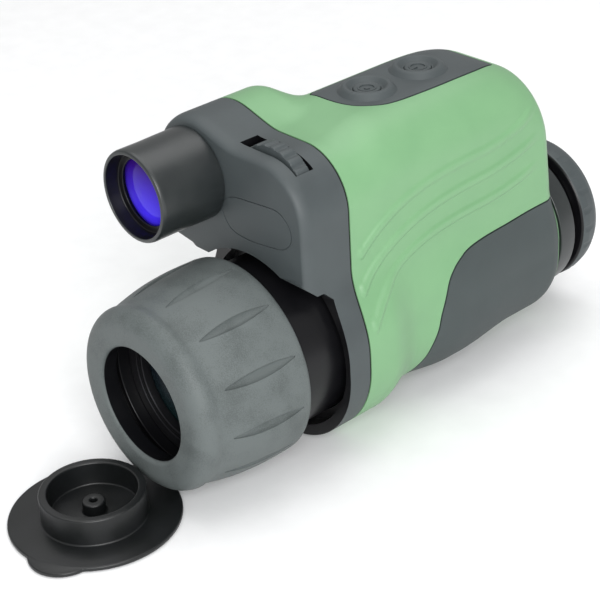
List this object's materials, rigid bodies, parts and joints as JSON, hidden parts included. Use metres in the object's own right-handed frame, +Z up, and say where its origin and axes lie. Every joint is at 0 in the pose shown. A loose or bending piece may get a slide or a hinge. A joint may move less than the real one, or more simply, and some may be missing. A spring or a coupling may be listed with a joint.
{
  "type": "night vision monocular",
  "caption": "Hand-held night-vision monocular with an offset infrared illuminator, focus ring, control wheel, top buttons and a hinged lens cap lying open.",
  "frame": {"origin": "a point on the face of the tripod seat under the body, 8 mm behind the tripod thread, on the surface the monocular stands on", "axes": "+Z up; the objective looks along -Y; +X is the side away from the infrared illuminator"},
  "size_m": [0.0756, 0.235, 0.1064],
  "materials": {
    "green_casing": "satin soft-touch paint",
    "charcoal_soft_touch": "soft-touch, very fine texture",
    "ribbed_rubber": "matt moulded rubber",
    "black_barrel": "glossy black",
    "cap_rubber": "semi-matt rubber",
    "coated_glass": "anti-reflection coated",
    "infrared_lens": "violet tinted lens",
    "circuit_board": "solder mask",
    "nickel_steel": "nickel plated",
    "brass": "turned",
    "black_aluminium": "black anodised",
    "battery_sleeve": "printed film sleeve, left plain"
  },
  "bodies": {
    "casing": {"body_shell": "green_casing", "front_cover": "charcoal_soft_touch", "button_panel": "charcoal_soft_touch", "eyepiece_barrel": "charcoal_soft_touch", "ir_tube": "charcoal_soft_touch", "battery_tray": "charcoal_soft_touch", "grip_left": "ribbed_rubber", "grip_right": "ribbed_rubber", "tripod_foot": "ribbed_rubber", "objective_barrel": "black_barrel", "image_tube": "black_barrel", "ir_lens": "infrared_lens", "control_board": "circuit_board", "main_board": "circuit_board", "potentiometer": "nickel_steel", "board_screw_1": "nickel_steel", "board_screw_2": "nickel_steel", "board_screw_3": "nickel_steel", "board_screw_4": "nickel_steel", "battery_contact_front": "nickel_steel", "battery_contact_rear": "nickel_steel", "battery_spring_front": "nickel_steel", "battery_spring_rear": "nickel_steel", "tripod_bush": "brass", "tube_housing": "black_aluminium", "tube_clamp_ring": "black_aluminium", "ir_heat_sink": "black_aluminium", "ir_emitter": "battery_sleeve", "switch_front": "battery_sleeve", "switch_rear": "battery_sleeve", "battery_lower": "battery_sleeve", "battery_upper": "battery_sleeve", "tube_power_supply": "battery_sleeve"},
    "focus_ring": {"focus_ring": "black_aluminium", "focus_ring_grip": "ribbed_rubber", "cap_strap": "cap_rubber"},
    "objective_cell": {"objective_cell": "black_aluminium", "objective_front_lens": "coated_glass", "objective_rear_lens": "coated_glass", "objective_retaining_ring": "black_aluminium"},
    "lens_cap": {"lens_cap": "cap_rubber"},
    "thumbwheel": {"thumbwheel": "charcoal_soft_touch"},
    "button_front": {"button_front": "charcoal_soft_touch"},
    "button_rear": {"button_rear": "charcoal_soft_touch"},
    "diopter_ring": {"diopter_ring": "ribbed_rubber", "eyecup": "cap_rubber"},
    "eyepiece_cell": {"eyepiece_cell": "black_aluminium", "eyepiece_field_lens": "coated_glass", "eyepiece_eye_lens": "coated_glass"},
    "battery_door": {"battery_door": "green_casing"}
  },
  "joints": [
    {"name": "focus_turn", "type": "hinge", "parent": "casing", "child": "focus_ring", "pos_m": [0, -0.102, 0.0344], "axis": [0, 1, 0], "range_deg": [-120, 120]},
    {"name": "objective_travel", "type": "slide", "parent": "casing", "child": "objective_cell", "axis": [0, 1, 0], "range_m": [-0.003, 0.003]},
    {"name": "cap_swing", "type": "hinge", "parent": "focus_ring", "child": "lens_cap", "pos_m": [-0.0023, -0.11925, 0.00945], "axis": [0.9914, -0.0924, -0.0924], "range_deg": [-90.4, 0]},
    {"name": "wheel_turn", "type": "hinge", "parent": "casing", "child": "thumbwheel", "pos_m": [0.0062, -0.072, 0.0884], "axis": [0, 1, 0], "range_deg": [-135, 135]},
    {"name": "button_front_press", "type": "slide", "parent": "casing", "child": "button_front", "axis": [0, 0, -1], "range_m": [0, 0.0008], "stiffness_N_per_m": 1500},
    {"name": "button_rear_press", "type": "slide", "parent": "casing", "child": "button_rear", "axis": [0, 0, -1], "range_m": [0, 0.0008], "stiffness_N_per_m": 1500},
    {"name": "diopter_turn", "type": "hinge", "parent": "casing", "child": "diopter_ring", "pos_m": [0, 0.054, 0.0344], "axis": [0, 1, 0], "range_deg": [-60, 60]},
    {"name": "eyepiece_travel", "type": "slide", "parent": "casing", "child": "eyepiece_cell", "axis": [0, 1, 0], "range_m": [-0.0016, 0.0016]},
    {"name": "battery_door_swing", "type": "hinge", "parent": "casing", "child": "battery_door", "pos_m": [-0.0274, -0.0035, 0.0614], "axis": [0, -1, 0], "range_deg": [0, 100]}
  ],
  "couplings": [
    {"joint": "objective_travel", "follows": "focus_turn", "m_per_rad": 0.0014},
    {"joint": "eyepiece_travel", "follows": "diopter_turn", "m_per_rad": 0.0014}
  ]
}
